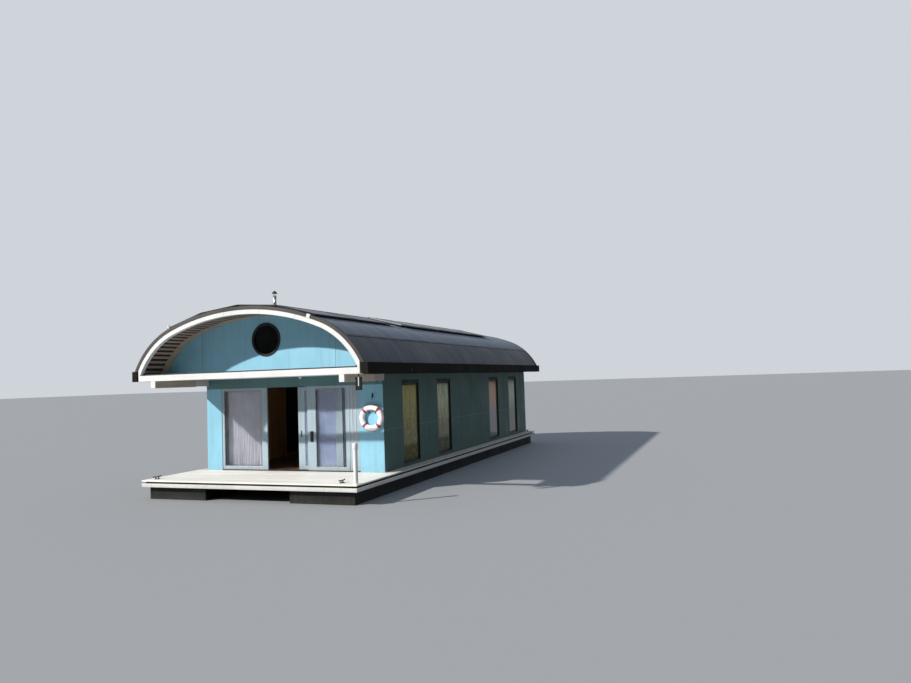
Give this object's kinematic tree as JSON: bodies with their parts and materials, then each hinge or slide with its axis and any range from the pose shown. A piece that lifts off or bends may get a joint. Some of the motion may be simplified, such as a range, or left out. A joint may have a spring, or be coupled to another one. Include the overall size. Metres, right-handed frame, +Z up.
{
  "type": "houseboat",
  "caption": "Houseboat with a vaulted cabin, arched front gable over a glazed porch, sliding door, roof panels and a hull of twin steel floats.",
  "frame": {"origin": "middle of the flat bottoms of the two floats, on the centreline, halfway between the ends of the deck", "axes": "+Z up, -Y out of the porch at the front, +X to the right-hand side seen from the porch"},
  "size_m": [7.3, 16.92, 6.7],
  "materials": {
    "hull_steel": "black hull paint, weathered",
    "white_paint": "white paint on boards, weathered",
    "deck_frame": "dark damp timber",
    "deck_wood": "pale weathered boards",
    "side_panel": "blue-green painted panels, satin",
    "blue_panel": "blue painted panels, satin",
    "window_unit": "dark slim frame with clear glass",
    "glass": "clear glass",
    "frame_teal": "blue-green painted timber",
    "frame_dark": "dark anodised",
    "soffit_wood": "brown stained slats",
    "plate_wood": "oiled timber",
    "ceiling": "grey painted boards",
    "fascia": "dark brown coated sheet",
    "roof_sheet": "grey membrane, dusty",
    "roof_sheet_low": "dark membrane, dusty",
    "verge_metal": "dark coated sheet, dull",
    "buoy": "white with faded red bands",
    "flue_steel": "brushed, slightly tarnished",
    "solar": "dark cells under glass, light frames",
    "curtain": "white sheer cloth in folds",
    "blind": "pale slats"
  },
  "bodies": {
    "boat": {"left_float": "hull_steel", "right_float": "hull_steel", "platform": "white_paint", "deck_joists": "deck_frame", "deck_boards": "deck_wood", "left_side_wall": "side_panel", "right_side_wall": "side_panel", "left_window_1": "window_unit", "left_window_2": "window_unit", "left_window_3": "window_unit", "left_window_4": "window_unit", "right_window_1": "window_unit", "right_window_2": "window_unit", "right_window_3": "window_unit", "right_window_4": "window_unit", "front_left_panel": "blue_panel", "front_right_panel": "blue_panel", "front_lintel": "frame_teal", "front_gable": "blue_panel", "rear_gable": "blue_panel", "gable_trim": "soffit_wood", "round_window": "glass", "rear_wall": "blue_panel", "roof_crown": "roof_sheet", "left_roof_haunch": "roof_sheet_low", "right_roof_haunch": "roof_sheet_low", "front_verge": "verge_metal", "rear_verge": "verge_metal", "left_eave": "fascia", "right_eave": "fascia", "front_arch": "white_paint", "tie_beam": "white_paint", "porch_ceiling": "ceiling", "left_wall_plate": "plate_wood", "right_wall_plate": "plate_wood", "overhang_slats": "soffit_wood", "door_sill": "frame_dark", "left_fixed_frame": "frame_teal", "left_fixed_glass": "glass", "right_fixed_frame": "frame_teal", "right_fixed_glass": "glass", "curtain_track": "white_paint", "curtain": "curtain", "blind": "blind", "corner_post": "white_paint", "lifebuoy": "buoy", "flue": "flue_steel", "front_collectors": "solar", "rear_solar_panels": "solar"},
    "sliding_door": {"sliding_door_frame": "frame_teal", "sliding_door_glass": "glass"},
    "rear_door_leaf": {"rear_door": "frame_teal"}
  },
  "joints": [
    {"name": "sliding_door_slide", "type": "slide", "parent": "boat", "child": "sliding_door", "axis": [-1, 0, 0], "range_m": [-0.33, 1.09]},
    {"name": "rear_door_swing", "type": "hinge", "parent": "boat", "child": "rear_door_leaf", "pos_m": [-0.405, 8.188, 2], "axis": [0, 0, -1], "range_deg": [0, 95]}
  ]
}
